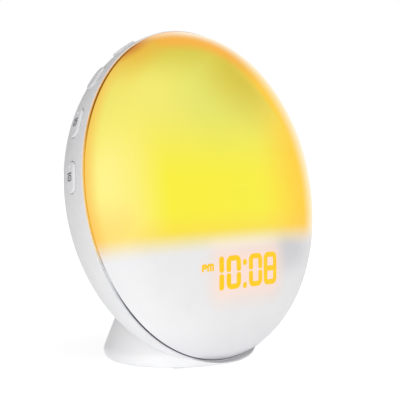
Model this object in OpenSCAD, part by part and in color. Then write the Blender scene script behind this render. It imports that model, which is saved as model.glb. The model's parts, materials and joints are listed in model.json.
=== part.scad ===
// Round bedside lamp clock: a leaning disc with an opal dome, on a flared oval foot.
// Origin: on the table, under the middle of the foot. +X right, +Y back, +Z up.
// The face frame has its origin at the middle of the disc: x right, y up the face, z out of the front.

/* [Disc] */
// Radius of the front cover at its rim
disc_r = 84.6; // [83.5:0.1:86]
// How far the face leans back, in degrees
face_lean = 9.4; // [8.5:0.1:10]
// Height of the rim's lowest point above the table
rim_gap = 2; // [1.8:0.1:2.4]
// How far the disc's middle stands in front of the foot's middle
disc_forward = 17.15; // [16.6:0.05:17.6]
// Radius of the rear shell's rounded side
side_r = 32; // [31:0.5:33]
// How far the shell stands proud of the cover all round
shell_lip = 0.6; // [0.5:0.1:0.7]
// Wall thickness of the shell and foot
wall = 2.4; // [2.4:0.1:2.6]

/* [Cover] */
// Radius of the cover's rounded shoulder
shoulder_r = 22; // [21:0.5:23]
// Draft of the cover's side at the rim, in degrees
cover_draft = 15; // [12:1:16]
// Slope at which the shoulder meets the crown, in degrees
crown_slope = 15; // [14:0.5:16]
// Thickness of the opal cover
cover_wall = 1.8; // [1.6:0.1:2]
// Height of the plain band round the rim
band_h = 0.7; // [0.6:0.1:0.9]

/* [Foot] */
// Half width of the foot, side to side
foot_x = 41.8; // [40:0.1:43]
// Half depth of the foot, front to back
foot_y = 37.7; // [37:0.1:39]
// Radius of the foot's bottom edge
foot_edge_r = 5.3; // [5:0.1:5.6]
// How far the foot's side leans in, in degrees
foot_flare = 20; // [18:0.5:21]
// Height of the heel behind the disc
heel_top = 45; // [43:1:48]

/* [Buttons] */
// Length of a button cap round the disc
key_l = 15; // [14:0.2:16]
// Width of a button cap, front to back
key_w = 7.4; // [7.2:0.1:7.6]
// How far a button cap stands out of the shell
key_proud = 1; // [1:0.1:1.2]
// Travel of a button
key_travel = 0.5; // [0.3:0.1:0.6]

/* [Display] */
// Height of a digit
digit_h = 16.2; // [15:0.1:16.6]
// Width of a digit
digit_w = 10.2; // [9.8:0.1:10.4]
// Distance from one digit to the next
digit_pitch = 12.6; // [12.4:0.1:12.8]
// Distance between the two middle digits
colon_pitch = 17; // [16.5:0.1:17.5]

/* [Hidden] */
$fn = 96;

white = [0.93, 0.93, 0.94];
board_green = [0.10, 0.42, 0.24];
steel = [0.72, 0.73, 0.75];
black = [0.08, 0.08, 0.09];

big = 120;
gap = 0.3;
eps = 0.01;
fine = 720; // segments of the widest arcs
sink = 0.004; // how far a straight side sinks into the arcs that it joins

// Rear shell profile: a rounded side that runs into a nearly flat crown
disc_height = rim_gap + disc_r * cos(face_lean);
back_slope = 4;
side_c = disc_r + shell_lip - side_r;
crown_edge = side_c + side_r * sin(back_slope);
back_r = crown_edge / sin(back_slope);
shell_depth = side_r * cos(back_slope) + back_r * (1 - cos(back_slope));
function back_z(r) = -shell_depth + back_r - sqrt(back_r * back_r - r * r);

// Cover profile: a drafted side, a shoulder arc and a shallow crown
shoulder_c = [disc_r - shoulder_r * cos(cover_draft), -shoulder_r * sin(cover_draft)];
dome_edge = shoulder_c.x + shoulder_r * sin(crown_slope);
dome_r = dome_edge / sin(crown_slope);
dome_c = shoulder_c.y + shoulder_r * cos(crown_slope) - dome_r * cos(crown_slope);
groove_h = 0.6;
groove_depth = 1.2;
groove_r = disc_r - groove_depth;
spigot_h = 2.2;
spigot_r = disc_r + shell_lip - wall - gap;
spigot_wall = 1.5;
spigot_in = spigot_r - spigot_wall;
snap_angles = [90, 208, 250, 290, 332];
snap_arc = 6;
snap_drop = 6;
snap_wall = 1;
snap_hook = [-5.2, -4.2]; // depths of a hook
snap_play = 0.5;

// Foot profile: edge arc, leaning side, and a round heel tangent to the side
ledge_inset = 0.05;
ledge_slope = 12;
ledge_reach = 30;
foot_edge_c = foot_y - foot_edge_r;
foot_dir = [cos(foot_flare), sin(foot_flare)];
foot_side = foot_edge_c * foot_dir.x + foot_edge_r * foot_dir.y + foot_edge_r;
heel_r = (foot_side - heel_top * foot_dir.y) / (1 - foot_dir.y);
heel_c = heel_top - heel_r;
underside = 0.3;
sole_edge = 4.5;
sole_front = -9;
plate_t = 2;
base_holes = [[-21, 4], [21, 4], [0, 25]];
base_boss_r = 3.4;
base_pilot_r = 1.15;
base_pilot_l = 11;
base_seat = underside + 1.2; // where the heads of the base screws rest
pad_r = 4.5;
pad_play = 0.1;
pad_places = [[0, 0], [-25, -21], [25, -21], [-22, 19], [22, 19]];
pad_sink = 0.9;

// Buttons: angles round the disc from +x, four each side
left_angles = [172.6, 154.2, 135.5, 117];
key_angles = concat(left_angles, [for (a = left_angles) 180 - a]);
key_back = 7.9;
key_tilt = asin(key_back / side_r);
key_r = side_c + side_r * cos(key_tilt);
key_bevel = 1.8;
key_root = 8; // how deep a cap is drawn before the shell's inside cuts it
key_flange = 1.1;
key_flange_gap = 0.2;
key_flange_reach = [2.2, 2.4]; // how much wider and longer the flange is than the cap
stem_r = 2.2;
plunger_r = 1.6;
plunger_bore = 1.65;
switch_face = 77.2;
switch_d = 3.6;
plunger_out = key_travel + 0.7;
stem_end = switch_face + plunger_out;
key_board_z = -11;
board_t = 1.6;
key_board_r = [63, 77.6];
key_board_span = [109, 181];
key_post_angles = [126, 163];
key_post_r = 66.5;

// Inner frame
tray_top = -0.8;
tray_t = 1.6;
tray_r = spigot_in - 0.4;
split_y = -25;
split_t = 1.5;
case_holes = [for (x = [-36, 36], y = [-36, 36]) [x, y]];
case_seat = -28;
case_boss_r = 4.6;
case_head_r = 3.3;
case_clear_r = 1.7;
case_post_r = 3.6;
case_pilot_r = 1.3;
case_post_end = -24.4;
lamp_r = 72;
lamp_low = -21;
lamp_holes = [[-55, 5], [55, 5], [0, 62]];
cable_slot = [16, 5];
lamp_cable_y = -14;
display_cable_y = -36;

// Display: lies along the inside of the cover, below the middle of the disc
display_y = -41.6;
display_tilt = asin(-display_y / dome_r);
display_gap = 0.4;
display_z = dome_c + (dome_r - cover_wall - display_gap) * cos(display_tilt);
display_size = [66, 21, 7];
stroke = 1.9;
display_posts = [[-29, -7], [29, -7], [-29, 7], [29, 7]];
digit_x = [
  -colon_pitch / 2 - digit_pitch, -colon_pitch / 2, colon_pitch / 2, colon_pitch / 2 + digit_pitch
];
// Segments a to g of each digit: lit for the time 10:08
lit = [
  [0, 1, 1, 0, 0, 0, 0],
  [1, 1, 1, 1, 1, 1, 0],
  [1, 1, 1, 1, 1, 1, 0],
  [1, 1, 1, 1, 1, 1, 1]
];

// Main board, jack and loudspeaker on the shell's back
main_z = -18.4;
main_low = [-31, -54];
main_size = [62, 44];
main_holes = [[-27, -14], [27, -14], [-27, -50], [27, -50]];
pillar_r = 2.8; // pillars of the main board and the loudspeaker
jack_at = [-18, -23];
jack_r = 5.4;
jack_size = 11;
jack_bore = 3.15;
jack_pin_r = 1;
jack_root_r = 1.6;
jack_depth = 9.5;
jack_mouth = back_z(norm(jack_at)) + 0.15;
jack_floor = jack_mouth + jack_depth;
speaker_at = [0, 20];
speaker_r = 25;
speaker_seat = -29.9;
speaker_flange = 1.5;
speaker_holes = [for (a = [30, 150, 270]) 29.4 * [cos(a), sin(a)]];
grille_rings = 4;
grille_step = 4.4;
grille_hole = 1.1;

// Backup cell and its twist-lock cover
cell_at = [42, 2];
cell_r = 10;
cell_t = 3.2;
cap_r = 13.2;
cap_t = 1.2;
cap_seat = -31.2;
plug_r = 11.4;
lip_t = 2;
tab_r = 12.7;
tab_arc = 28;
tab_t = 1.1;
cap_turn = 45;

module face() {
  translate([0, -disc_forward, disc_height]) rotate([90 - face_lean, 0, 0]) children();
}

module at_face(p) {
  face() translate([p.x, p.y, 0]) children();
}

// Cylinder between two depths in the face frame
module post(r, z0, z1) {
  translate([0, 0, min(z0, z1)]) cylinder(h = abs(z1 - z0), r = r);
}

module tube(r_out, r_in, z0, z1) {
  difference() {
    post(r_out, z0, z1);
    post(r_in, min(z0, z1) - 1, max(z0, z1) + 1);
  }
}

// Hole for a flat cable through a plate whose back is at depth z
module cable_hole(y, z) {
  translate([-cable_slot.x / 2, y, z - 1]) cube([cable_slot.x, cable_slot.y, 4]);
}

// Right half of the shell's outline, moved inwards by t
module shell_outline(t) {
  intersection() {
    translate([side_c, 0]) circle(side_r - t);
    translate([crown_edge - 6, -big]) square([big, big]);
  }
  intersection() {
    translate([0, back_r - shell_depth]) circle(back_r - t, $fn = fine);
    translate([0, -big]) square([crown_edge, big]);
  }
}

module shell_solid(t) {
  rotate_extrude() shell_outline(t);
}

// Right half of the dome's outline above the rim plane, moved inwards by t
module dome_outline(t) {
  intersection() {
    translate(shoulder_c) circle(shoulder_r - t);
    translate([dome_edge - 6, 0]) square([big, big]);
  }
  intersection() {
    translate([0, dome_c]) circle(dome_r - t, $fn = fine);
    square([dome_edge, big]);
  }
}

module dome_solid(t) {
  rotate_extrude() dome_outline(t);
}

// Room in front of the shell's edge, opening forwards, so that the foot's ledge stays clear of the cover
module cover_room() {
  r = disc_r + shell_lip - ledge_inset;
  translate([0, 0, -gap]) cylinder(h = ledge_reach, r1 = r, r2 = r + ledge_reach * tan(ledge_slope));
}

// Right half of the foot's outline, moved inwards by t
module foot_outline(t) {
  edge_in = [foot_edge_c, foot_edge_r];
  heel_in = [0, heel_c];
  intersection() {
    union() {
      translate(edge_in) circle(foot_edge_r - t);
      translate(heel_in) circle(heel_r - t);
      polygon([
        [0, t],
        [foot_edge_c, t],
        edge_in,
        edge_in + (foot_edge_r - t - sink) * foot_dir,
        heel_in + (heel_r - t - sink) * foot_dir,
        heel_in
      ]);
    }
    translate([0, underside]) square([big, big]);
  }
}

module foot_solid(t) {
  scale([foot_x / foot_y, 1, 1]) rotate_extrude() foot_outline(t);
}

// Outline of the opening under the foot, moved inwards by t
module sole_outline(t) {
  intersection() {
    scale([foot_x / foot_y, 1]) circle(foot_y - sole_edge - t);
    translate([-big / 2, sole_front + t]) square([big, big]);
  }
}

module stadium(l, w) {
  square([w, l - w], center = true);
  translate([0, (l - w) / 2]) circle(w / 2);
  translate([0, (w - l) / 2]) circle(w / 2);
}

// Stadium block with sloping sides
module stadium_bevel(l, w, h, inset) {
  for (s = [-1, 1]) translate([0, s * (l - w) / 2, 0]) cylinder(h = h, r1 = w / 2, r2 = w / 2 - inset);
  translate([0, (l - w) / 2, 0]) rotate([90, 0, 0]) linear_extrude(l - w)
    polygon([[-w / 2, 0], [w / 2, 0], [w / 2 - inset, h], [inset - w / 2, h]]);
}

// Frame of one button: z out of the shell's side, y along the disc's edge
module key_frame(a) {
  rotate([0, 0, a]) translate([key_r, 0, -key_back]) rotate([0, 90 + key_tilt, 0]) children();
}

// Frame of one switch: z outwards from the disc's middle
module switch_frame(a) {
  rotate([0, 0, a]) translate([0, 0, -key_back]) rotate([0, 90, 0]) children();
}

// Cross-headed screw that points up, with its head below the seat
module screw(head_r, head_h, shank_r, l) {
  difference() {
    union() {
      translate([0, 0, -head_h]) cylinder(h = head_h, r = head_r);
      translate([0, 0, -eps]) cylinder(h = l + eps, r = shank_r);
    }
    translate([0, 0, -head_h - eps]) for (a = [0, 90]) rotate([0, 0, a])
      translate([-head_r * 0.55, -head_r * 0.12, 0]) cube([head_r * 1.1, head_r * 0.24, head_h * 0.6]);
  }
}

// Five short arcs of a ring, each longer by grow at both ends
module snap_ring(r0, r1, z0, z1, grow) {
  for (a = snap_angles) rotate([0, 0, a - snap_arc / 2 - grow]) rotate_extrude(angle = snap_arc + 2 * grow)
    translate([r0, z0]) square([r1 - r0, z1 - z0]);
}

// Rings of round holes in front of the loudspeaker
module grille() {
  for (k = [0 : grille_rings], i = [0 : max(0, 6 * k - 1)])
    rotate([0, 0, i * 60 / max(k, 1)]) translate([k * grille_step, 0, 0])
      post(grille_hole, -shell_depth - 2, -shell_depth + wall + 3);
}

// ---- housing ----

// Hollow foot with an opening underneath, cut to the shell's back and clear of the cover
module foot_body() {
  difference() {
    foot_solid(0);
    face() {
      shell_solid(wall / 2);
      cover_room();
    }
    difference() {
      intersection() {
        foot_solid(wall);
        union() {
          linear_extrude(big) sole_outline(0);
          translate([-big / 2, sole_front, plate_t + 4]) cube(big);
        }
      }
      face() shell_solid(-eps);
      for (p = base_holes) translate([p.x, p.y, underside + plate_t]) cylinder(h = big, r = base_boss_r);
    }
    linear_extrude(underside + plate_t) sole_outline(0);
    for (p = base_holes) translate([p.x, p.y, 0]) cylinder(h = base_pilot_l, r = base_pilot_r);
    for (p = pad_places) translate([p.x, p.y, 0]) cylinder(h = pad_sink, r = pad_r + pad_play);
  }
}

// Posts and rings that stand on the inside of the shell's back
module shell_posts() {
  for (p = case_holes) translate([p.x, p.y, 0]) post(case_boss_r, -shell_depth + 1, case_post_end);
  for (p = main_holes) translate([p.x, p.y, 0]) post(pillar_r, -shell_depth + 1, main_z - board_t);
  for (p = speaker_holes) translate([speaker_at.x + p.x, speaker_at.y + p.y, 0])
    post(pillar_r, -shell_depth + 1, speaker_seat + speaker_flange);
  for (s = [0, 1], a = key_post_angles) mirror([s, 0, 0]) rotate([0, 0, a])
    translate([key_post_r, 0, 0]) post(3, -shell_depth + 1, key_board_z - board_t);
  translate([speaker_at.x, speaker_at.y, 0]) {
    tube(speaker_r + 1.8, speaker_r + 0.3, -shell_depth + 1, speaker_seat + 1.4);
    tube(speaker_r + 1, speaker_r - 3, -shell_depth + 1, speaker_seat);
  }
  translate([cell_at.x, cell_at.y, 0]) post(15.2, -shell_depth + 1, cap_seat + 8.6);
}

module shell_holes() {
  for (p = case_holes) translate([p.x, p.y, 0]) {
    post(case_head_r, -shell_depth - 2, case_seat);
    post(case_clear_r, -shell_depth, case_post_end + 1);
  }
  for (p = main_holes) translate([p.x, p.y, 0]) post(1, main_z - board_t - 7, main_z);
  for (p = speaker_holes) translate([speaker_at.x + p.x, speaker_at.y + p.y, 0])
    post(0.9, speaker_seat - 1, 0);
  for (s = [0, 1], a = key_post_angles) mirror([s, 0, 0]) rotate([0, 0, a])
    translate([key_post_r, 0, 0]) post(0.9, key_board_z - board_t - 7, key_board_z);
  translate([jack_at.x, jack_at.y, 0]) post(jack_r + 0.2, -shell_depth - 2, -shell_depth + 6);
  translate([speaker_at.x, speaker_at.y, 0]) grille();
  for (a = key_angles) key_frame(a) translate([0, 0, -key_root]) linear_extrude(key_root + 6)
    stadium(key_l + 2 * gap, key_w + 2 * gap);
  snap_ring(
    spigot_r - 4, spigot_r + snap_play, snap_hook[0] - snap_play, snap_hook[1] + snap_play, snap_play
  );
  translate([cell_at.x, cell_at.y, 0]) cell_well();
}

// Well for the backup cell: seat, lip with three notches, room for the tabs, and the cell's pocket
module cell_well() {
  post(cap_r + 0.2, -shell_depth - 2, cap_seat);
  post(plug_r + 0.2, cap_seat - 1, cap_seat + lip_t + 1);
  post(tab_r + 0.6, cap_seat + lip_t, cap_seat + lip_t + tab_t + 0.4);
  post(cell_r + 0.4, cap_seat + lip_t, cap_seat + 7);
  for (a = [0, 120, 240]) rotate([0, 0, a - cap_turn - tab_arc / 2 - 2])
    rotate_extrude(angle = tab_arc + 4) translate([plug_r - 1, cap_seat - 1])
      square([tab_r - plug_r + 1.2, lip_t + 2]);
}

module rear_shell() {
  color(white) difference() {
    union() {
      difference() {
        union() {
          face() shell_solid(0);
          foot_body();
        }
        face() shell_solid(wall);
      }
      face() intersection() {
        shell_posts();
        shell_solid(wall / 2);
      }
    }
    face() shell_holes();
  }
}

module base_plate() {
  color(white) difference() {
    translate([0, 0, underside]) linear_extrude(plate_t) sole_outline(0.2);
    for (p = base_holes) translate([p.x, p.y, 0]) {
      cylinder(h = 4, r = 1.5);
      cylinder(h = base_seat, r = 2.9);
    }
    for (p = pad_places) translate([p.x, p.y, 0]) cylinder(h = pad_sink, r = pad_r + pad_play);
  }
}

module base_screws() {
  color(steel) for (p = base_holes) translate([p.x, p.y, base_seat]) screw(2.5, 1.1, 1.1, 8);
}

module rubber_pads() {
  color([0.2, 0.2, 0.21]) for (p = pad_places) translate([p.x, p.y, 0]) {
    cylinder(h = 0.5, r1 = pad_r - 0.4, r2 = pad_r);
    translate([0, 0, 0.5 - eps]) cylinder(h = pad_sink - 0.5, r = pad_r);
  }
}

module case_screws() {
  color(steel) for (p = case_holes) at_face(p) translate([0, 0, case_seat]) screw(2.8, 2.2, 1.25, 13);
}

// ---- front ----

// Opal dome with its rim band, the groove behind the dome, and the spigot with its snap hooks
module front_cover() {
  color([0.98, 0.93, 0.55]) face() {
    rotate_extrude() difference() {
      union() {
        difference() {
          union() {
            dome_outline(0);
            square([disc_r, band_h]);
          }
          dome_outline(cover_wall);
        }
        translate([spigot_in, 0]) square([groove_r - spigot_in, band_h]);
        translate([spigot_in, -spigot_h]) square([spigot_wall, spigot_h + band_h]);
      }
      translate([groove_r, band_h]) square([4, groove_h]);
      square([spigot_in, band_h + eps]);
    }
    snap_ring(spigot_in - 0.2, spigot_in + snap_wall, -snap_drop, -spigot_h + 1, 0);
    snap_ring(spigot_in + snap_wall - eps, spigot_r + 0.15, snap_hook[0], snap_hook[1], 0);
  }
}

// Tray that carries the lamp, with the partition between the lamp and the display
module reflector_tray() {
  color(white) face() difference() {
    union() {
      post(tray_r, tray_top - tray_t, tray_top);
      tube(tray_r, tray_r - 1.5, tray_top - tray_t, 2.5);
      intersection() {
        translate([-tray_r, split_y - split_t, tray_top - eps]) cube([2 * tray_r, split_t, 40]);
        post(tray_r, tray_top - eps, 40);
        union() {
          dome_solid(cover_wall + 0.5);
          post(tray_r, tray_top - eps, eps);
        }
      }
      for (p = case_holes) translate([p.x, p.y, 0])
        post(case_post_r, case_post_end + 0.2, tray_top - tray_t + eps);
      intersection() {
        for (p = display_posts) translate([p.x, display_y + p.y, tray_top - eps]) cylinder(h = 30, r = 2.4);
        display_frame() translate([-big / 2, -big / 2, -display_size.z - board_t - big]) cube(big);
      }
    }
    for (p = case_holes) translate([p.x, p.y, 0]) post(case_pilot_r, case_post_end, -12);
    for (p = lamp_holes) translate([p.x, p.y, 0]) post(1, tray_top - tray_t - 1, tray_top + 1);
    for (y = [lamp_cable_y, display_cable_y]) cable_hole(y, tray_top - tray_t);
  }
}

module lamp_board() {
  color([0.9, 0.92, 0.9]) face() difference() {
    translate([0, 0, tray_top]) linear_extrude(board_t) intersection() {
      circle(lamp_r);
      translate([-big, lamp_low]) square([2 * big, big]);
    }
    for (p = lamp_holes) translate([p.x, p.y, tray_top - 1]) cylinder(h = 4, r = 1.6);
    cable_hole(lamp_cable_y, tray_top);
  }
}

// Lamps in rings on the part of the board above the partition
lamp_ring = [[1, 0], [6, 17], [12, 34], [18, 51], [24, 65]];
lamp_places = [
  for (k = lamp_ring, i = [0 : k[0] - 1])
    let (a = 360 * i / k[0] + 7.5, p = k[1] * [cos(a), sin(a)])
      if (p.y > lamp_low + 14 && min([for (h = lamp_holes) norm(p - h)]) > 7) p
];

module lamp_leds() {
  color([1, 0.9, 0.5]) face() for (p = lamp_places)
    translate([p.x, p.y, tray_top + board_t]) difference() {
      translate([-2.5, -2.5, 0]) cube([5, 5, 1.6]);
      translate([0, 0, 1.2]) cylinder(h = 1, r = 2);
    }
}

module lamp_screws() {
  color(steel) face() for (p = lamp_holes)
    translate([p.x, p.y, tray_top + board_t]) rotate([180, 0, 0]) screw(2.6, 1.4, 0.95, 4.5);
}

// ---- display ----

module display_frame() {
  translate([0, display_y, display_z]) rotate([display_tilt, 0, 0]) children();
}

// Bar with pointed ends, lying along x
module bar(l) {
  h = stroke / 2;
  polygon([[-l / 2, 0], [h - l / 2, -h], [l / 2 - h, -h], [l / 2, 0], [l / 2 - h, h], [h - l / 2, h]]);
}

// Places of segments a to g: [x, y, turned]
half_h = (digit_h - stroke) / 4;
half_w = (digit_w - stroke) / 2;
seg = [
  [0, 2 * half_h, 0], [half_w, half_h, 90], [half_w, -half_h, 90], [0, -2 * half_h, 0],
  [-half_w, -half_h, 90], [-half_w, half_h, 90], [0, 0, 0]
];

module digit_bars(d, on) {
  for (i = [0 : 6]) if (lit[d][i] == on && (d > 0 || i == 1 || i == 2))
    translate([digit_x[d] + seg[i].x, seg[i].y]) rotate(seg[i].z)
      bar((seg[i].z > 0 ? 2 * half_h : 2 * half_w) - 0.5);
}

module colon_dots() {
  for (s = [-1, 1]) translate([0, s * digit_h * 0.35]) circle(1.1);
}

module display_marks(on) {
  for (d = [0 : 3]) digit_bars(d, on);
  if (on == 1) {
    colon_dots();
    translate([digit_x[0] - 7.5, 3.4]) square([7, 3.4], center = true);
  }
}

// Block of the display, its front following the inside of the cover
module display_block() {
  intersection() {
    display_frame() translate([0, 0, -display_size.z]) linear_extrude(display_size.z + 1) children();
    dome_solid(cover_wall + display_gap);
  }
}

module display_body() {
  color(black) face() display_block() difference() {
    square([display_size.x, display_size.y], center = true);
    display_marks(0);
    display_marks(1);
  }
}

module segments_lit() {
  color([1, 0.72, 0.1]) face() display_block() display_marks(1);
}

module segments_dark() {
  color([0.3, 0.26, 0.2]) face() display_block() display_marks(0);
}

module display_board() {
  color(board_green) face() display_frame()
    translate([-display_size.x / 2, -display_size.y / 2, -display_size.z - board_t])
      cube([display_size.x, display_size.y, board_t]);
}

// ---- electronics on the shell's back ----

module main_board() {
  color(board_green) face() difference() {
    translate([main_low.x, main_low.y, main_z - board_t]) cube([main_size.x, main_size.y, board_t]);
    for (p = main_holes) translate([p.x, p.y, main_z - 4]) cylinder(h = 6, r = 1.3);
  }
}

// Controller, two capacitors, and the sockets of the display's and the lamp's cables
module board_parts() {
  color(black) face() {
    translate([-2, -40, main_z]) cube([12, 12, 1.6]);
    translate([-18, -44, main_z]) cylinder(h = 9, r = 4);
    translate([18, -26, main_z]) cylinder(h = 7, r = 6);
    translate([-6, -19, main_z]) cube([12, 5, 6]);
    translate([14, -48, main_z]) cube([9, 5, 6]);
  }
}

module board_screws() {
  color(steel) face() for (p = main_holes)
    translate([p.x, p.y, main_z]) rotate([180, 0, 0]) screw(2.4, 1.5, 0.95, 7);
}

module dc_jack() {
  color(black) at_face(jack_at) difference() {
    union() {
      post(jack_r, jack_mouth, -shell_depth + wall + 2);
      translate([-jack_size / 2, -jack_size / 2, -shell_depth + wall + 1])
        cube([jack_size, jack_size, shell_depth - wall - 1 + main_z - board_t]);
    }
    post(jack_bore, jack_mouth - 1, jack_floor);
    post(jack_root_r, jack_floor - 1, jack_floor + 1.5);
  }
}

// Centre pin of the jack, with a wider root pressed into the body
module jack_pin() {
  color(steel) at_face(jack_at) {
    post(jack_pin_r, jack_mouth + 0.8, jack_floor + 1);
    post(jack_root_r, jack_floor, jack_floor + 1.5);
  }
}

module speaker_frame() {
  color(black) at_face(speaker_at) rotate_extrude() difference() {
    union() {
      translate([0, speaker_seat]) square([speaker_r, speaker_flange]);
      polygon([[0, speaker_seat + 1.4], [22, speaker_seat + 1.4], [13.5, -19], [0, -19]]);
    }
    polygon([
      [-1, speaker_seat - 1], [21, speaker_seat - 1], [21, speaker_seat + 0.6], [12.2, -20.2], [-1, -20.2]
    ]);
  }
}

module speaker_cone() {
  color([0.3, 0.3, 0.32]) at_face(speaker_at) rotate_extrude()
    polygon([
      [0, -24.5], [4, -24], [18.6, -29.2], [20.4, -29.5], [20.4, -29],
      [18.8, -28.5], [5.5, -23], [5.5, -20.2], [0, -20.2]
    ]);
}

module speaker_magnet() {
  color(steel) at_face(speaker_at) post(13, -19, -12.5);
}

module speaker_screws() {
  color(steel) for (p = speaker_holes) at_face(speaker_at + p)
    translate([0, 0, speaker_seat + speaker_flange]) rotate([180, 0, 0]) screw(4.8, 1, 0.85, 2.4);
}

// ---- buttons ----

module key_board(s) {
  color(board_green) face() mirror([s, 0, 0]) difference() {
    rotate([0, 0, key_board_span[0]]) rotate_extrude(angle = key_board_span[1] - key_board_span[0])
      translate([key_board_r[0], key_board_z - board_t]) square([key_board_r[1] - key_board_r[0], board_t]);
    for (a = key_post_angles) rotate([0, 0, a]) translate([key_post_r, 0, key_board_z - 4])
      cylinder(h = 6, r = 1.2);
  }
}

module key_board_left() {
  key_board(0);
}

module key_board_right() {
  key_board(1);
}

module key_board_screws() {
  color(steel) face() for (s = [0, 1], a = key_post_angles) mirror([s, 0, 0]) rotate([0, 0, a])
    translate([key_post_r, 0, key_board_z]) rotate([180, 0, 0]) screw(2.2, 1.3, 0.85, 6.5);
}

module switch_bodies(s) {
  color(black) face() mirror([s, 0, 0]) for (a = left_angles) switch_frame(a) difference() {
    translate([-3.1, -3, switch_face - switch_d]) cube([6.2, 6, switch_d]);
    translate([0, 0, switch_face - switch_d + 0.5]) cylinder(h = switch_d, r = plunger_bore);
  }
}

module switches_left() {
  switch_bodies(0);
}

module switches_right() {
  switch_bodies(1);
}

// Cap, flange that holds it in the shell, and stem down to the switch
module button(i) {
  a = key_angles[i - 1];
  color(white) face() {
    difference() {
      intersection() {
        key_frame(a) {
          translate([0, 0, -key_root]) linear_extrude(key_root + 0.1 + eps) stadium(key_l, key_w);
          translate([0, 0, 0.1]) stadium_bevel(key_l, key_w, key_bevel, key_bevel);
        }
        shell_solid(-key_proud);
      }
      shell_solid(wall + key_flange_gap + key_flange);
    }
    intersection() {
      key_frame(a) translate([0, 0, -key_root]) linear_extrude(key_root - 1)
        stadium(key_l + key_flange_reach[1], key_w + key_flange_reach[0]);
      difference() {
        shell_solid(wall + key_flange_gap);
        shell_solid(wall + key_flange_gap + key_flange);
      }
    }
    switch_frame(a) translate([0, 0, stem_end]) cylinder(h = key_r - wall - 1 - stem_end, r = stem_r);
    if (i == 1 || i == 2) key_frame(a) translate([0, -key_l * 0.34, key_proud - 0.35]) sphere(r = 0.65);
  }
}

module plunger(i) {
  color([0.6, 0.6, 0.62]) face() switch_frame(key_angles[i - 1])
    translate([0, 0, stem_end - 3.3]) cylinder(h = 3.3, r = plunger_r);
}

// ---- backup cell ----

module cell_cover() {
  color(white) at_face(cell_at) difference() {
    union() {
      post(cap_r, cap_seat - cap_t, cap_seat);
      post(plug_r, cap_seat - eps, cap_seat + lip_t + tab_t + 0.1);
      for (a = [0, 120, 240]) rotate([0, 0, a - tab_arc / 2]) rotate_extrude(angle = tab_arc)
        translate([plug_r - 1, cap_seat + lip_t + 0.1]) square([tab_r - plug_r + 1, tab_t]);
    }
    translate([-8, -1, cap_seat - cap_t - eps]) cube([16, 2, 0.9]);
  }
}

module coin_cell() {
  z0 = cap_seat + lip_t + tab_t + 0.2;
  color(steel) at_face(cell_at) {
    post(cell_r - 0.8, z0 + cell_t - 0.7, z0 + cell_t);
    post(cell_r, z0, z0 + cell_t - 0.6);
  }
}

module cell_contact() {
  z0 = cap_seat + lip_t + tab_t + 0.2 + cell_t;
  color(steel) at_face(cell_at) post(6, z0, cap_seat + 7);
}

rear_shell();
base_plate();
base_screws();
rubber_pads();
front_cover();
reflector_tray();
lamp_board();
lamp_leds();
lamp_screws();
display_board();
display_body();
segments_lit();
segments_dark();
main_board();
board_parts();
board_screws();
dc_jack();
jack_pin();
speaker_frame();
speaker_cone();
speaker_magnet();
speaker_screws();
key_board_left();
key_board_right();
key_board_screws();
switches_left();
switches_right();
case_screws();
cell_cover();
coin_cell();
cell_contact();
button(1);  // button_1
button(2);  // button_2
button(3);  // button_3
button(4);  // button_4
button(5);  // button_5
button(6);  // button_6
button(7);  // button_7
button(8);  // button_8
plunger(1);  // plunger_1
plunger(2);  // plunger_2
plunger(3);  // plunger_3
plunger(4);  // plunger_4
plunger(5);  // plunger_5
plunger(6);  // plunger_6
plunger(7);  // plunger_7
plunger(8);  // plunger_8
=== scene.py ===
"""Round bedside lamp clock: finishes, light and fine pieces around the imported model.

The model's frame: metres, origin on the table under the foot, +X right, +Y back, +Z up.
The face frame: millimetres, origin at the middle of the disc, x right, y up the face, z out of the front.
"""
import json
import math

import bpy
from mathutils import Matrix, Vector


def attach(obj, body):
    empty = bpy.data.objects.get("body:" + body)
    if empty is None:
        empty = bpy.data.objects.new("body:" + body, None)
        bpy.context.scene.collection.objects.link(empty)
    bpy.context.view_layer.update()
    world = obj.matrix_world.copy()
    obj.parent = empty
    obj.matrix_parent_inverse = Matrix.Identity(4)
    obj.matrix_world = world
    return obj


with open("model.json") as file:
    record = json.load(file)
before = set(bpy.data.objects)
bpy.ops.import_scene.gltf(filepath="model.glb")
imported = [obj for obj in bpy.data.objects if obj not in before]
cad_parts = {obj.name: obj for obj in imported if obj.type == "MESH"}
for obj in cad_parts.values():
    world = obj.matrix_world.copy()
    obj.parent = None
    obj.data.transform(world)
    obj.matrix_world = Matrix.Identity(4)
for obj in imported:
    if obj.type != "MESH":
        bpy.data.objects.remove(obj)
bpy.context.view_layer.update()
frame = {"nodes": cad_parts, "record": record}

MM = 0.001

# ---- the clock's own measures, in millimetres and degrees ----

FACE_LEAN = 9.4
DISC_FORWARD = 17.15
DISC_R = 84.6
RIM_GAP = 2.0  # from the table to the disc's lowest point
DISC_HEIGHT = RIM_GAP + DISC_R * math.cos(math.radians(FACE_LEAN))

# The shell's side wall is an arc of SIDE_R, whose centre is SIDE_C from the disc's axis
SIDE_R = 32.0
SHELL_LIP = 0.6
SIDE_C = DISC_R + SHELL_LIP - SIDE_R

# How far in front of the disc's plane the band and the groove round the dome end
BAND_TOP = 0.7
GROOVE_TOP = 1.3

# The dome: a shoulder arc and a shallow crown
SHOULDER_R = 22.0
COVER_DRAFT = math.radians(15)
CROWN_SLOPE = math.radians(15)
SHOULDER_X = DISC_R - SHOULDER_R * math.cos(COVER_DRAFT)
SHOULDER_Z = -SHOULDER_R * math.sin(COVER_DRAFT)
CROWN_X = SHOULDER_X + SHOULDER_R * math.sin(CROWN_SLOPE)
CROWN_R = CROWN_X / math.sin(CROWN_SLOPE)
CROWN_Z = SHOULDER_Z + SHOULDER_R * math.cos(CROWN_SLOPE) - CROWN_R * math.cos(CROWN_SLOPE)

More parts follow.
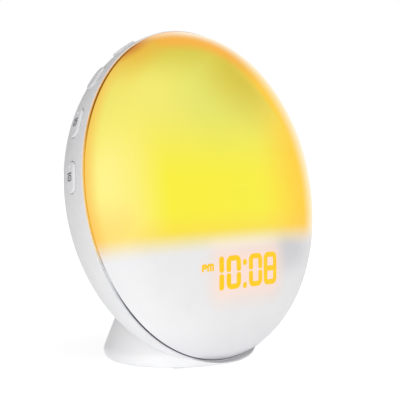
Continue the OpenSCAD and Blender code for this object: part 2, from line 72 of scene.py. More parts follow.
# The two buttons with a sign: their angle round the disc, and how far all buttons are behind the rim
KEY_ANGLES = {"key_1": 172.6, "key_2": 154.2}
KEY_BACK = 7.9
KEY_TILT = math.asin(KEY_BACK / SIDE_R)
KEY_PROUD = 1.0

FACE = (
    Matrix.Translation(Vector((0, -DISC_FORWARD, DISC_HEIGHT)) * MM)
    @ Matrix.Rotation(math.radians(90 - FACE_LEAN), 4, "X")
    @ Matrix.Scale(MM, 4)
)
INSIDE = FACE @ Vector((0, 0, -20))  # a point in the clock, which its drawn strokes face away from

# ---- colours, as linear light ----


def srgb(r, g, b):
    """A display colour from 0 to 255 as linear light."""
    def linear(c):
        c = c / 255
        return c / 12.92 if c <= 0.04045 else ((c + 0.055) / 1.055) ** 2.4
    return linear(r), linear(g), linear(b), 1.0


BLACK = (0.0, 0.0, 0.0, 1.0)
WHITE = (1.0, 1.0, 1.0, 1.0)

# The lit part of the dome
LAMP_MIDDLE = srgb(248, 238, 50)
LAMP_PALE = srgb(229, 228, 102)
LAMP_PALE_LEFT = srgb(244, 234, 108)
LAMP_OLIVE = srgb(216, 196, 50)
LAMP_RIGHT = srgb(254, 206, 22)
LAMP_TOP = srgb(250, 178, 42)
LAMP_LEFT = srgb(253, 240, 130)
LAMP_RIM = srgb(253, 196, 84)
# A painted reflection along the dome's right edge
LAMP_EDGE_REFLECTION = srgb(254, 245, 222)
LAMP_DEEP = srgb(204, 114, 18)

# The unlit part, its painted shade, and the light of the digits in it
UNLIT = srgb(236, 236, 238)
UNLIT_HALO = srgb(238, 224, 216)
UNLIT_PAINTED_SHADE = (0.80, 0.79, 0.81, 1.0)
HALO = (0.15, 0.03, 0.0, 1.0)

# The groove round the dome and the band behind it: at the upper left, the left, the top and the unlit part
# The groove's colours at the upper left, the left and beside the unlit part are painted shade of the
# recess
GROOVE_AMBER_SHADE = srgb(132, 84, 10)
GROOVE_SIDE = srgb(214, 172, 66)
GROOVE_HIGH = srgb(236, 190, 130)
GROOVE_GREY_SHADE = srgb(96, 94, 104)
BAND_LIT = srgb(250, 178, 70)
BAND_SIDE = srgb(253, 228, 176)
BAND_HIGH = srgb(245, 222, 190)
# Painted shade on the band beside the unlit part
BAND_GREY_SHADE = srgb(204, 204, 212)

# ---- shader building ----


class Shader:
    """A material's node tree, built by short calls that each return an output socket."""

    def __init__(self, name):
        self.material = bpy.data.materials.new(name)
        self.material.use_nodes = True
        self.tree = self.material.node_tree
        self.tree.nodes.clear()
        self.surface = self.tree.nodes.new("ShaderNodeBsdfPrincipled")
        output = self.tree.nodes.new("ShaderNodeOutputMaterial")
        self.tree.links.new(self.surface.outputs[0], output.inputs["Surface"])

    def put(self, socket, value):
        """Gives an input socket a plain value or another node's output."""
        if isinstance(value, bpy.types.NodeSocket):
            self.tree.links.new(value, socket)
        else:
            socket.default_value = value

    def set(self, **values):
        """Sets the shader's own sockets: base_color=..., roughness=... and so on."""
        for name, value in values.items():
            label = name.replace("_", " ").title().replace("Ior", "IOR")
            self.put(self.surface.inputs[label], value)

    def place(self):
        """A point on the surface in the model's frame, in metres."""
        return self.tree.nodes.new("ShaderNodeTexCoord").outputs["Object"]

    def face_place(self):
        """A point on the surface in the face frame, in millimetres."""
        node = self.tree.nodes.new("ShaderNodeMapping")
        node.inputs["Location"].default_value = FACE.inverted().to_translation()
        node.inputs["Rotation"].default_value = (math.radians(FACE_LEAN - 90), 0, 0)
        node.inputs["Scale"].default_value = (1 / MM,) * 3
        self.put(node.inputs["Vector"], self.place())
        return node.outputs[0]

    def parts(self, vector):
        """The x, y and z of a vector."""
        node = self.tree.nodes.new("ShaderNodeSeparateXYZ")
        self.put(node.inputs[0], vector)
        return node.outputs

    def math(self, operation, *values):
        node = self.tree.nodes.new("ShaderNodeMath")
        node.operation = operation
        for socket, value in zip(node.inputs, values):
            self.put(socket, value)
        return node.outputs[0]

    def vector(self, operation, *values):
        node = self.tree.nodes.new("ShaderNodeVectorMath")
        node.operation = operation
        for socket, value in zip(node.inputs, values):
            self.put(socket, value)
        return node.outputs["Value" if operation in ("LENGTH", "DISTANCE") else "Vector"]

    def smooth(self, value, start, end, low=0.0, high=1.0):
        """low before start, high after end, and a smooth step between them."""
        node = self.tree.nodes.new("ShaderNodeMapRange")
        node.interpolation_type = "SMOOTHSTEP"
        if start > end:
            start, end, low, high = end, start, high, low
        for socket, v in zip(node.inputs, (value, start, end, low, high)):
            self.put(socket, v)
        return node.outputs[0]

    def both(self, *shares):
        """The product of shares."""
        total = shares[0]
        for share in shares[1:]:
            total = self.math("MULTIPLY", total, share)
        return total

    def spot(self, place, middle, size, near, far):
        """1 within near of an ellipse's middle, and 0 beyond far, counted in its half sizes."""
        offset = self.vector("SUBTRACT", place, (*middle, 0))
        scaled = self.vector("MULTIPLY", offset, (1 / size[0], 1 / size[1], 0))
        return self.smooth(self.vector("LENGTH", scaled), far, near)

    def near_box(self, x, y, low, high, reach):
        """1 inside a rectangle, and fading to 0 at reach around it."""
        sides = []
        for value, a, b in ((x, low[0], high[0]), (y, low[1], high[1])):
            off = self.math("ABSOLUTE", self.math("SUBTRACT", value, (a + b) / 2))
            sides.append(self.math("MAXIMUM", self.math("SUBTRACT", off, (b - a) / 2), 0.0))
        away = self.math("SQRT", self.math("ADD", *(self.math("POWER", side, 2.0) for side in sides)))
        return self.smooth(away, reach, 0)

    def mix(self, share, a, b, blend="MIX"):
        """Colour a, with this share of b mixed in."""
        node = self.tree.nodes.new("ShaderNodeMix")
        node.data_type = "RGBA"
        node.blend_type = blend
        self.put(node.inputs[0], share)
        self.put(node.inputs[6], a)
        self.put(node.inputs[7], b)
        return node.outputs[2]

    def dimmed(self, color, share):
        """This share of a colour's light."""
        return self.mix(share, BLACK, color)

    def noise(self, size, detail=2.0, vector=None):
        """Noise from 0 to 1 whose blotches are about size metres across."""
        node = self.tree.nodes.new("ShaderNodeTexNoise")
        node.inputs["Scale"].default_value = 1 / size
        node.inputs["Detail"].default_value = detail
        self.put(node.inputs["Vector"], vector or self.place())
        return node.outputs["Fac"]

    def bump(self, height, depth):
        """Relief of a height from 0 to 1, which stands for so many metres."""
        node = self.tree.nodes.new("ShaderNodeBump")
        node.inputs["Strength"].default_value = 1.0
        node.inputs["Distance"].default_value = depth
        self.put(node.inputs["Height"], height)
        self.put(self.surface.inputs["Normal"], node.outputs[0])


def moulded(name, color, shade, roughness, grain=0.00025, depth=0.000006):
    """Moulded plastic: a fine spark-eroded grain, faint flow marks and a slightly uneven gloss.

    grain is the size of the grain and depth its depth, both in metres.
    """
    s = Shader(name)
    flow = s.noise(0.03, 3)
    s.set(base_color=s.mix(s.smooth(flow, 0.3, 0.7), color, shade))
    s.set(roughness=s.smooth(s.noise(0.008, 4), 0.3, 0.7, roughness - 0.04, roughness + 0.05))
    s.set(ior=1.5)
    s.bump(s.noise(grain, 1), depth)
    return s.material


def metal(name, color, shade, roughness):
    """Metal with fine streaks, which run up and down."""
    s = Shader(name)
    streak = s.noise(0.0004, 3, s.vector("MULTIPLY", s.place(), (1, 1, 0.12)))
    s.set(base_color=s.mix(streak, color, shade), metallic=1.0)
    s.set(roughness=s.smooth(streak, 0.2, 0.8, roughness - 0.08, roughness + 0.1))
    s.bump(streak, 0.000004)
    return s.material


# Tracks as the joints of a brick pattern: rows of 0.25 / 140 m, and joints of 0.035 / 140 m
TRACK_SCALE = 140
TRACK_WIDTH = 0.035


def circuit(name, mask, copper):
    """A printed circuit board: solder mask with tracks that stand slightly under it."""
    s = Shader(name)
    brick = s.tree.nodes.new("ShaderNodeTexBrick")
    brick.inputs["Scale"].default_value = TRACK_SCALE
    brick.inputs["Mortar Size"].default_value = TRACK_WIDTH
    s.put(brick.inputs["Vector"], s.vector("MULTIPLY", s.face_place(), (MM, MM, MM)))
    tracks = s.math("MULTIPLY", brick.outputs["Fac"], s.smooth(s.noise(0.01), 0.45, 0.6))
    s.set(base_color=s.mix(tracks, mask, copper), roughness=s.smooth(s.noise(0.002), 0.3, 0.7, 0.28, 0.4))
    s.bump(tracks, 0.00003)
    return s.material


def glowing(name, color, edge, strength):
    """A diffuser with light behind it, slightly uneven from side to side."""
    s = Shader(name)
    patch = s.smooth(s.noise(0.003, 2), 0.3, 0.7)
    light = s.mix(patch, color, edge)
    s.set(base_color=s.mix(0.85, light, BLACK), emission_color=light, emission_strength=strength)
    s.set(roughness=s.smooth(s.noise(0.001), 0.3, 0.7, 0.36, 0.5), specular_ior_level=0.25)
    return s.material


# ---- the opal cover ----

# The height on the face where the lamp's light ends, and how far it fades on both sides of it
LAMP_END = -25.5
LAMP_FADE = 6.5
# The share of the lamp's light that is painted into the dome's colour, while the rest is its own light
PAINTED_LAMP_SHARE = 0.3
# The same painted share for the band, and the share of its own light
BAND_PAINTED_LAMP_SHARE = 0.5
BAND_GLOW = 0.4
# The painted reflection, a pale edge, lies outside this circle on the face
LIMB_MIDDLE = (-15.5, -2, 0)
LIMB_R = 83.5
# The halo is full in the boxes of the digits and the PM, and ends so far from them
DIGITS_LOW = (-17, -46.5)
DIGITS_HIGH = (21, -36.5)
DIGITS_REACH = 18
MARK_LOW = (-32, -40.2)
MARK_HIGH = (-24, -36)
MARK_REACH = 4
MARK_SHARE = 0.35
# How softly the groove's and band's colours begin
EDGE_FADE = 0.08


class FaceShader(Shader):
    """A shader that knows the place on the face, in millimetres.

    radius is how far a point is from the disc's axis, and aside how far from the middle of the circle that
    the painted pale reflection follows.
    """

    def __init__(self, name):
        super().__init__(name)
        self.point = self.face_place()
        self.x, self.y, self.z = self.parts(self.point)
        self.radius = self.away_from((0, 0, 0))
        self.aside = self.away_from(LIMB_MIDDLE)

    def away_from(self, middle):
        """The distance from a point, as seen along the disc's axis."""
        offset = self.vector("SUBTRACT", self.point, middle)
        return self.vector("LENGTH", self.vector("MULTIPLY", offset, (1, 1, 0)))

    def zone(self, **steps):
        """The product of smooth steps along x, y, z, radius or aside.

        A step says where it starts and where it ends, and its values there unless they are 0 and 1.
        """
        return self.both(*(self.smooth(getattr(self, name), *step) for name, step in steps.items()))


def lamp_color(s):
    """The lit part: yellow, paler above, olive at the top and amber on the right."""
    above = s.mix(s.zone(x=(-8, -56)), LAMP_PALE, LAMP_PALE_LEFT)
    color = s.mix(s.zone(y=(2, 46), x=(40, -20, 0.8, 1.0)), LAMP_MIDDLE, above)
    olive = s.spot(s.point, (26, 66), (56, 44), 0.2, 1.0)
    olive = s.math("MAXIMUM", olive, s.zone(y=(50, 76, 0.0, 0.9)))
    color = s.mix(olive, color, LAMP_OLIVE)
    right = s.math("MAXIMUM", s.zone(x=(10, 62), y=(62, 24)), s.zone(aside=(67, 77), x=(12, 38)))
    color = s.mix(right, color, LAMP_RIGHT)
    return s.mix(s.zone(x=(-46, -76), y=(50, 10)), color, LAMP_LEFT)


def rim_color(s, color):
    """The lit part's colour with what changes where the dome turns away: deeper, and a painted pale
    reflection on the right.
    """
    ring = s.both(s.zone(aside=(71, 79), x=(50, 14)), s.zone(x=(-52, -20)))
    left_end = s.zone(radius=(72, 86, 0.0, 0.8), x=(-70, -38), y=(10, 60))
    color = s.mix(s.math("MAXIMUM", ring, left_end), color, LAMP_TOP)
    color = s.mix(s.zone(radius=(81, 85.4), x=(-40, -70)), color, LAMP_RIM)

    # The lower left corner, and more faintly all along the end of the lamp's light
    corner = s.zone(x=(-58, -80, 0.0, 0.45), y=(2, -18))
    strip = s.zone(y=(-8, -24, 0.0, 0.35))
    color = s.mix(s.math("MAXIMUM", corner, strip), color, LAMP_RIM)

    # A brown line along the upper left rim, which is wider towards the top
    start = s.zone(x=(-60, -40, 83.4, 81.0))
    line = s.smooth(s.math("SUBTRACT", s.radius, start), 0.0, 4.0)
    line = s.both(line, s.zone(x=(-76, -66)), s.zone(x=(-22, -44)), s.zone(y=(20, 50)))
    color = s.mix(line, color, LAMP_DEEP)

    # A painted reflection: the pale edge on the right, which is narrower at the top
    width = s.zone(x=(-10, 60, 4.0, 9.5))
    pale = s.math("DIVIDE", s.math("SUBTRACT", s.aside, LIMB_R), width)
    return s.mix(s.smooth(pale, -1, 1), color, LAMP_EDGE_REFLECTION)


def dome(s):
    """The dome's colour, with part of the lamp's light painted into it, and its own light: lit from
    inside, and plain white below that.
    """
    lit = s.zone(y=(LAMP_END - LAMP_FADE, LAMP_END + LAMP_FADE))
    unlit = s.math("SUBTRACT", 1.0, lit)
    lamp = rim_color(s, lamp_color(s))
    base = s.mix(lit, UNLIT, s.dimmed(lamp, PAINTED_LAMP_SHARE))
    mottle = s.smooth(s.noise(0.012, 3), 0.2, 0.8, 0.975, 1.0)
    base = s.mix(1.0, base, mottle, "MULTIPLY")

    # Painted shade: greyer to the right of the digits, and at the very bottom
    painted_shade = s.both(s.spot(s.point, (38, -33), (31, 17), 0.15, 1.0), unlit)
    painted_shade = s.math("MAXIMUM", painted_shade, s.zone(y=(-60, -86, 0.0, 0.6)))
    base = s.mix(painted_shade, base, UNLIT_PAINTED_SHADE, "MULTIPLY")

    halo = s.near_box(s.x, s.y, DIGITS_LOW, DIGITS_HIGH, DIGITS_REACH)
    mark = s.near_box(s.x, s.y, MARK_LOW, MARK_HIGH, MARK_REACH)
    halo = s.math("MAXIMUM", halo, s.math("MULTIPLY", mark, MARK_SHARE))
    base = s.mix(s.math("MULTIPLY", halo, unlit), base, UNLIT_HALO)
    light = s.dimmed(HALO, s.math("POWER", halo, 2.0))
    return base, s.mix(lit, light, s.dimmed(lamp, 1 - PAINTED_LAMP_SHARE))


def groove(s, base, light):
    """The colour and light with the groove's, which follow the part of the dome next to it and are mostly
    darker, as painted shade in the recess.
    """
    # Painted shade of the recess, amber beside the lamp's light
    color = s.mix(s.zone(y=(14, 50)), GROOVE_SIDE, GROOVE_AMBER_SHADE)
    color = s.mix(s.zone(x=(-46, -22), y=(0, 30)), color, GROOVE_HIGH)
    # Painted shade of the recess, dark grey beside the unlit part
    color = s.mix(s.zone(y=(-24, -34)), color, GROOVE_GREY_SHADE)
    # White for a short way under the end of the lamp's light
    color = s.mix(s.both(s.zone(y=(-58, -36)), s.zone(y=(-20, -36))), color, UNLIT)
    above_band = s.zone(z=(BAND_TOP - EDGE_FADE, BAND_TOP))
    inside = s.both(above_band, s.zone(z=(GROOVE_TOP + EDGE_FADE, GROOVE_TOP)))
    glow = s.dimmed(color, s.zone(y=(-34, -20, 0.0, 0.35)))
    return s.mix(inside, base, color), s.mix(inside, light, glow)


def band(s, base, light):
    """The colour and light with those of the narrow band behind the groove."""
    color = s.mix(s.zone(y=(5, 40)), BAND_SIDE, BAND_LIT)
    color = s.mix(s.zone(x=(-46, -22), y=(0, 30)), color, BAND_HIGH)
    near_lamp = s.zone(y=(LAMP_END - 8, LAMP_END + 4))
    inside = s.zone(z=(BAND_TOP, BAND_TOP - EDGE_FADE))
    glow = s.dimmed(color, s.math("MULTIPLY", near_lamp, BAND_GLOW))
    # Away from the lamp's light the band is grey with painted shade
    color = s.mix(near_lamp, BAND_GREY_SHADE, s.dimmed(color, BAND_PAINTED_LAMP_SHARE))
    return s.mix(inside, base, color), s.mix(inside, light, glow)


def opal_cover():
    """The opal cover: its dome, and the groove and band at the dome's edge."""
    s = FaceShader("opal_cover")
    base, light = band(s, *groove(s, *dome(s)))
    s.set(base_color=base, emission_color=light, emission_strength=1.0, ior=1.5, specular_ior_level=0.36)
    s.set(roughness=s.smooth(s.noise(0.01, 4), 0.3, 0.7, 0.36, 0.44))
    s.bump(s.noise(0.0003, 1), 0.000004)
    return s.material


# ---- drawing on the clock's curved surfaces ----

STEP = 1.1  # longest edge of a drawn stroke, in millimetres
ARC_STEPS = 5  # edges in a rounded corner


def on_dome(lift):
    """Places face coordinates on the outside of the dome, lifted by so many millimetres."""
    def place(x, y):
        r = math.hypot(x, y)
        z = CROWN_Z + math.sqrt((CROWN_R + lift) ** 2 - r * r)
        return FACE @ Vector((x, y, z))
    return place


def on_key(angle, lift):
    """Places a point on the top of a button: u along the disc's edge, v towards the back."""
    def place(u, v):
        tilt = KEY_TILT + v / SIDE_R
        out = SIDE_R + KEY_PROUD + lift
        r = SIDE_C + out * math.cos(tilt)
        turn = math.radians(angle) + u / r
        return FACE @ Vector((r * math.cos(turn), r * math.sin(turn), -out * math.sin(tilt)))
    return place


def rounded(corners, radius, closed=False):
    """A path through corners, each of them rounded, with no long edges."""
    corners = [Vector(c) for c in corners]
    path = []
    for i, corner in enumerate(corners):
        if not closed and i in (0, len(corners) - 1):
            path.append(corner)
            continue
        before = (corners[i - 1] - corner).normalized()
        after = (corners[(i + 1) % len(corners)] - corner).normalized()
        half = before.angle(after) / 2
        centre = corner + (before + after).normalized() * (radius / math.sin(half))
        start = corner + before * (radius / math.tan(half)) - centre
        end = corner + after * (radius / math.tan(half)) - centre
        for k in range(ARC_STEPS + 1):
            path.append(centre + start.lerp(end, k / ARC_STEPS).normalized() * radius)
    if closed:
        path.append(path[0])
    fine = []
    for a, b in zip(path, path[1:]):
        parts = max(1, math.ceil((b - a).length / STEP))
        fine += [a.lerp(b, k / parts) for k in range(parts)]
    return fine if closed else fine + [path[-1]]


class Drawing:
    """Strokes that are laid on a curved surface and given a depth."""

    def __init__(self, place):
        self.place = place
        self.points = []
        self.faces = []

    def add(self, points, faces):
        """Points on the flat drawing, and faces that count from the first of them."""
        first = len(self.points)
        self.points += [self.place(*p) for p in points]
        self.faces += [[first + i for i in face] for face in faces]

    def stroke(self, path, width, closed=False, tip=1.0, upright=None):
        """A stroke along a path, which may be of another width where it runs up or down.

        tip is the share of the width that its ends keep.
        """
        points = []
        last = len(path) - 1
        for i, p in enumerate(path):
            ahead = path[(i + 1) % len(path)] if closed else path[min(i + 1, last)]
            behind = path[i - 1] if closed or i else path[0]
            side = (ahead - behind).normalized()
            side = Vector((-side.y * (upright or width), side.x * width)) / 2
            if not closed and i in (0, last):
                side = side * tip
            points += [p + side, p - side]
        faces = [(2 * i, 2 * i + 1, 2 * i + 3, 2 * i + 2) for i in range(last)]
        if closed:
            faces.append((2 * last, 2 * last + 1, 1, 0))
        self.add(points, faces)

    def bar(self, start, end, width, tip=0.45):
        """A straight stroke with its ends cut to a blunt point."""
        start, end = Vector(start), Vector(end)
        along = (end - start).normalized()
        cut = along * width * (1 - tip) / 2
        self.stroke([start, *rounded([start + cut, end - cut], 0), end], width, tip=tip)

    def dot(self, middle, half, power=3.0, count=20):
        """A rounded square."""
        ring = []
        for k in range(count):
            c, s = math.cos(2 * math.pi * k / count), math.sin(2 * math.pi * k / count)
            r = half / (abs(c) ** power + abs(s) ** power) ** (1 / power)
            ring.append((middle[0] + r * c, middle[1] + r * s))
        self.add([middle, *ring], [(0, 1 + k, 1 + (k + 1) % count) for k in range(count)])

    def make(self, name, body, material, depth):
        """The object: its front is where the strokes were placed, and its back is depth inside."""
        mesh = bpy.data.meshes.new(name)
        mesh.from_pydata(self.points, [], self.faces)
        middle = sum(self.points, Vector()) / len(self.points)
        if sum(face.normal.dot(middle - INSIDE) for face in mesh.polygons) < 0:
            mesh.flip_normals()
        mesh.materials.append(material)
        piece = bpy.data.objects.new(name, mesh)
        bpy.context.scene.collection.objects.link(piece)
        solid = piece.modifiers.new("depth", "SOLIDIFY")
        solid.thickness = depth * MM
        solid.offset = -1
        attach(piece, body)
        return piece


# Digits on the dome, in millimetres
DIGIT_TOP = -33.4
DIGIT_LOW = -49.8
DIGIT_MID = (DIGIT_TOP + DIGIT_LOW) / 2
STROKE = 2.6
UPRIGHT = 3.3  # the width of a digit's uprights
CORNER = UPRIGHT / 2 + 0.2
SPLIT = 0.7  # gap between an upper and a lower segment
COLON_X = -1.6
COLON_Y = (-37.3, -48.6)
COLON_HALF = 1.45
GLOW_LIFT = 0.02
GLOW_DEPTH = 0.3

# The PM beside them, measured along the middle of its lines
PM_LOW = -40.0
PM_TOP = -36.3  # over the line
PM_LINE = 1.15
PM_CORNER = 0.5
P_LEFT = -31.4
P_WIDTH = 2.2
P_MIDDLE = (PM_LOW + PM_TOP) / 2 - 0.1  # the lower side of its bowl
M_ARCHES = ((-28.0, -26.3), (-26.3, -24.6))


def draw_zero(drawing, x0, x1):
    """A 0 between two edges, which are measured over the strokes."""
    left, right = x0 + UPRIGHT / 2, x1 - UPRIGHT / 2
    for top, side in ((DIGIT_TOP - STROKE / 2, 1), (DIGIT_LOW + STROKE / 2, -1)):
        end = DIGIT_MID + side * SPLIT / 2
        corners = [(left, end), (left, top), (right, top), (right, end)]
        drawing.stroke(rounded(corners, CORNER), STROKE, tip=0.7, upright=UPRIGHT)


def draw_eight(drawing, x0, x1):
    """An 8 between two edges, like the 0."""
    left, right = x0 + UPRIGHT / 2, x1 - UPRIGHT / 2
    top, low = DIGIT_TOP - STROKE / 2, DIGIT_LOW + STROKE / 2
    loop = [(left, low), (left, top), (right, top), (right, low)]
    drawing.stroke(rounded(loop, CORNER, closed=True), STROKE, closed=True, upright=UPRIGHT)
    drawing.stroke(rounded([(x0 + UPRIGHT, DIGIT_MID), (x1 - UPRIGHT, DIGIT_MID)], 0), STROKE)


def draw_one(drawing, x):
    """A 1 with its strokes' middle at x."""
    for a, b in ((DIGIT_TOP, DIGIT_MID + SPLIT / 2), (DIGIT_MID - SPLIT / 2, DIGIT_LOW)):
        drawing.bar((x, a), (x, b), UPRIGHT)


def make_digits(material):
    """The time's digits and its colon."""
    for name, draw, place in (
        ("digit_glow_1", draw_one, (-18.75,)),
        ("digit_glow_2", draw_zero, (-15.35, -4.65)),
        ("digit_glow_3", draw_zero, (1.55, 12.65)),
        ("digit_glow_4", draw_eight, (13.95, 25.75)),
    ):
        drawing = Drawing(on_dome(GLOW_LIFT))
        draw(drawing, *place)
        drawing.make(name, "clock", material, GLOW_DEPTH)
    colon = Drawing(on_dome(GLOW_LIFT))
    for y in COLON_Y:
        colon.dot((COLON_X, y), COLON_HALF)
    colon.make("colon_glow", "clock", material, GLOW_DEPTH)


def make_pm(material):
    """The small PM: a P, and an M of two arches."""
    top = PM_TOP - PM_LINE / 2
    right = P_LEFT + P_WIDTH
    stem_and_bowl = [(P_LEFT, PM_LOW), (P_LEFT, top), (right, top), (right, P_MIDDLE)]
    stem_and_bowl.append((P_LEFT + PM_LINE / 2, P_MIDDLE))
    mark = Drawing(on_dome(GLOW_LIFT))
    mark.stroke(rounded(stem_and_bowl, PM_CORNER), PM_LINE)
    for left, right in M_ARCHES:
        arch = [(left, PM_LOW), (left, top), (right, top), (right, PM_LOW)]
        mark.stroke(rounded(arch, PM_CORNER), PM_LINE)
    mark.make("pm_glow", "clock", material, GLOW_DEPTH)


# Signs on the buttons: an alarm clock as a bar over a round case with two hands. Its points are in
# millimetres, first down along the disc's edge and then towards the back.
SIGN_LIFT = 0.04
SIGN_DEPTH = 0.25
SIGN_CASE = ((1.5, -1.4), (1.5, 1.4), (-0.9, 1.4), (-0.9, -1.4))
SIGN_BAR = ((-1.85, -1.8), (-1.85, 1.8))
SIGN_HANDS = ((-0.3, 0.0), (0.5, 0.0), (0.5, 0.8))
CASE_LINE = 0.6
CASE_CORNER = 0.7
BAR_LINE = 0.7
HANDS_LINE = 0.45
HANDS_CORNER = 0.1


def make_sign(name, key, material):
    """The sign on a button of the left side."""
    sign = Drawing(on_key(KEY_ANGLES[key], SIGN_LIFT))
    sign.stroke(rounded(SIGN_CASE, CASE_CORNER, closed=True), CASE_LINE, closed=True)
    sign.stroke(rounded(SIGN_BAR, 0), BAR_LINE)
    sign.stroke(rounded(SIGN_HANDS, HANDS_CORNER), HANDS_LINE)
    sign.make(name, key, material, SIGN_DEPTH)


# ---- camera ----

LENS = 104.33
SENSOR = 36.0
CAMERA_DISTANCE = 0.5946  # metres from the middle of the disc
CAMERA_SIDE = math.radians(49.115)
CAMERA_RAISE = math.radians(1.81)
# The way the camera looks, which isn't quite at the middle of the disc
LOOK_SIDE = math.radians(48.881)
LOOK_RAISE = math.radians(-2.102)


def towards(side, lift):
    """The direction from the clock towards a place to its front left."""
    return Vector((-math.sin(side) * math.cos(lift), -math.cos(side) * math.cos(lift), math.sin(lift)))


def make_camera():
    """The photograph's camera, solved from its outlines."""
    data = bpy.data.cameras.new("camera")
    data.lens = LENS
    data.sensor_width = SENSOR
    data.clip_start = 0.01
    camera = bpy.data.objects.new("camera", data)
    bpy.context.scene.collection.objects.link(camera)
    camera.location = FACE.to_translation() + CAMERA_DISTANCE * towards(CAMERA_SIDE, CAMERA_RAISE)
    camera.rotation_euler = (math.radians(90) + LOOK_RAISE, 0, -LOOK_SIDE)
    bpy.context.scene.camera = camera


# ---- studio ----

# The key light: a broad one from over the camera
KEY_POWER = 4.4
KEY_LIFT = 16  # degrees
KEY_DISTANCE = 1.25
KEY_AIM = (0, 0, 0.08)
KEY_SIZE = 0.9

# A narrow one from the left on the foot
FOOT_POWER = 13.0
FOOT_LIGHT_ANGLES = (80, 5)
FOOT_LIGHT_DISTANCE = 1.1
FOOT_LIGHT_AIM = (-0.02, 0, 0.008)
FOOT_LIGHT_CONE = 4.8
FOOT_LIGHT_R = 0.04

# The surround's light, which is lowest from DIM_SIDE and highest from the opposite side
DIM_SIDE = (-0.6, 0.78, -0.14)
AMBIENT_LOW = 0.29
AMBIENT_HIGH = 0.83

# The floor's own light, and what the camera alone sees on top of it: less under the clock than beyond it
FLOOR_GLOW = 0.34
FLOOR_SEEN_NEAR = 0.14
FLOOR_SEEN = 0.36
FLOOR_NEAR = 0.05
FLOOR_BEYOND = 0.3
FLOOR_HALF = 6.0


def add_light(name, kind, place, aim, power, **settings):
    """A light at a place, which shines at aim with so many watts."""
    data = bpy.data.lights.new(name, kind)
    data.energy = power
    for setting, value in settings.items():
        setattr(data, setting, value)
    light = bpy.data.objects.new(name, data)
    bpy.context.scene.collection.objects.link(light)
    light.location = place
    light.rotation_euler = (Vector(aim) - Vector(place)).to_track_quat("-Z", "Y").to_euler()


def make_world():
    """A white surround whose light is weaker on the left, behind and below."""
    world = bpy.data.worlds.new("studio")
    bpy.context.scene.world = world
    world.use_nodes = True
    tree = world.node_tree
    tree.nodes.clear()
    seen = tree.nodes.new("ShaderNodeBackground")
    lighting = tree.nodes.new("ShaderNodeBackground")
    for node in (seen, lighting):
        node.inputs["Color"].default_value = WHITE
    facing = tree.nodes.new("ShaderNodeVectorMath")
    facing.operation = "DOT_PRODUCT"
    tree.links.new(tree.nodes.new("ShaderNodeTexCoord").outputs["Generated"], facing.inputs[0])
    facing.inputs[1].default_value = DIM_SIDE
    rise = tree.nodes.new("ShaderNodeMapRange")
    tree.links.new(facing.outputs["Value"], rise.inputs[0])
    for socket, value in zip(rise.inputs[1:], (-1, 1, AMBIENT_HIGH, AMBIENT_LOW)):
        socket.default_value = value
    tree.links.new(rise.outputs[0], lighting.inputs["Strength"])
    path = tree.nodes.new("ShaderNodeLightPath")
    choice = tree.nodes.new("ShaderNodeMixShader")
    output = tree.nodes.new("ShaderNodeOutputWorld")
    tree.links.new(path.outputs["Is Camera Ray"], choice.inputs[0])
    tree.links.new(lighting.outputs[0], choice.inputs[1])
    tree.links.new(seen.outputs[0], choice.inputs[2])
    tree.links.new(choice.outputs[0], output.inputs["Surface"])


def make_floor():
    """Pale glowing paper under the clock, seen as brighter away from it."""
    mesh = bpy.data.meshes.new("floor")
    corners = [(x * FLOOR_HALF, y * FLOOR_HALF, 0) for x, y in ((-1, -1), (1, -1), (1, 1), (-1, 1))]
    mesh.from_pydata(corners, [], [(0, 1, 2, 3)])
    floor = bpy.data.objects.new("floor", mesh)
    bpy.context.scene.collection.objects.link(floor)
    s = Shader("floor_paper")
    s.set(base_color=s.mix(s.noise(0.4), (0.84, 0.84, 0.84, 1), (0.86, 0.86, 0.86, 1)), roughness=0.9)
    seen = s.tree.nodes.new("ShaderNodeLightPath").outputs["Is Camera Ray"]
    distance = s.vector("LENGTH", s.place())
    away = s.smooth(distance, FLOOR_NEAR, FLOOR_BEYOND, FLOOR_SEEN_NEAR, FLOOR_SEEN)
    strength = s.math("ADD", s.math("MULTIPLY", seen, away), FLOOR_GLOW)
    s.set(emission_color=WHITE, emission_strength=strength)
    mesh.materials.append(s.material)


def make_studio():
    """The surround, the floor and two lights."""
    make_world()
    make_floor()
    place = towards(CAMERA_SIDE, math.radians(KEY_LIFT)) * KEY_DISTANCE
    add_light("key", "AREA", place, KEY_AIM, KEY_POWER, shape="SQUARE", size=KEY_SIZE)
    place = towards(*(math.radians(a) for a in FOOT_LIGHT_ANGLES)) * FOOT_LIGHT_DISTANCE
    add_light("foot_light", "SPOT", place, FOOT_LIGHT_AIM, FOOT_POWER,
              spot_size=math.radians(FOOT_LIGHT_CONE), spot_blend=1.0, shadow_soft_size=FOOT_LIGHT_R)
    bpy.context.scene.view_settings.view_transform = "Standard"


# ---- finishes ----


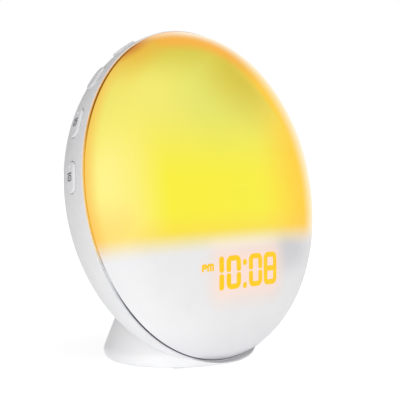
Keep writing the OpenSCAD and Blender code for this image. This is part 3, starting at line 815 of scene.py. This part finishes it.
def finishes():
    """A material for each of the record's slots."""
    return {
        "shell_plastic": moulded("shell_plastic", srgb(236, 236, 237), srgb(231, 231, 233), 0.38),
        "button_plastic": moulded("button_plastic", srgb(236, 236, 238), srgb(230, 230, 233), 0.32),
        "opal_cover": opal_cover(),
        "tray_plastic": moulded("tray_plastic", srgb(240, 240, 240), srgb(232, 232, 232), 0.5),
        "black_plastic": moulded("black_plastic", srgb(30, 30, 32), srgb(38, 38, 40), 0.45),
        "plunger_plastic": moulded("plunger_plastic", srgb(160, 160, 165), srgb(150, 150, 156), 0.4),
        "circuit_board": circuit("circuit_board", srgb(24, 92, 52), srgb(60, 140, 84)),
        "lamp_board": circuit("lamp_board", srgb(236, 238, 234), srgb(214, 216, 210)),
        "lamp_led": glowing("lamp_led", srgb(255, 236, 150), srgb(255, 214, 90), 1.5),
        "segment_lit": glowing("segment_lit", srgb(255, 203, 2), srgb(255, 196, 8), 0.9),
        "segment_dark": moulded("segment_dark", srgb(70, 62, 50), srgb(60, 54, 44), 0.5),
        "screw_steel": metal("screw_steel", srgb(190, 192, 196), srgb(170, 172, 178), 0.3),
        "contact_metal": metal("contact_metal", srgb(214, 208, 190), srgb(196, 188, 168), 0.25),
        "pad_rubber": moulded("pad_rubber", srgb(222, 222, 220), srgb(212, 212, 210), 0.75,
                              grain=0.0006, depth=0.00003),
        "speaker_frame": moulded("speaker_frame", srgb(34, 34, 36), srgb(28, 28, 30), 0.5),
        "speaker_cone": moulded("speaker_cone", srgb(58, 56, 54), srgb(44, 42, 42), 0.8,
                                grain=0.0008, depth=0.00008),
        "speaker_magnet": metal("speaker_magnet", srgb(120, 120, 124), srgb(96, 96, 100), 0.4),
    }


make_camera()
make_studio()

materials = finishes()
for part in frame["record"]["subparts"]:
    mesh = frame["nodes"][part["node"]].data
    mesh.materials.clear()
    mesh.materials.append(materials[part["material_slot"]])

make_digits(materials["segment_lit"])
make_pm(materials["segment_lit"])
sign_ink = moulded("sign_ink", srgb(92, 92, 98), srgb(104, 104, 110), 0.5)
make_sign("sign_1", "key_1", sign_ink)
make_sign("sign_2", "key_2", sign_ink)
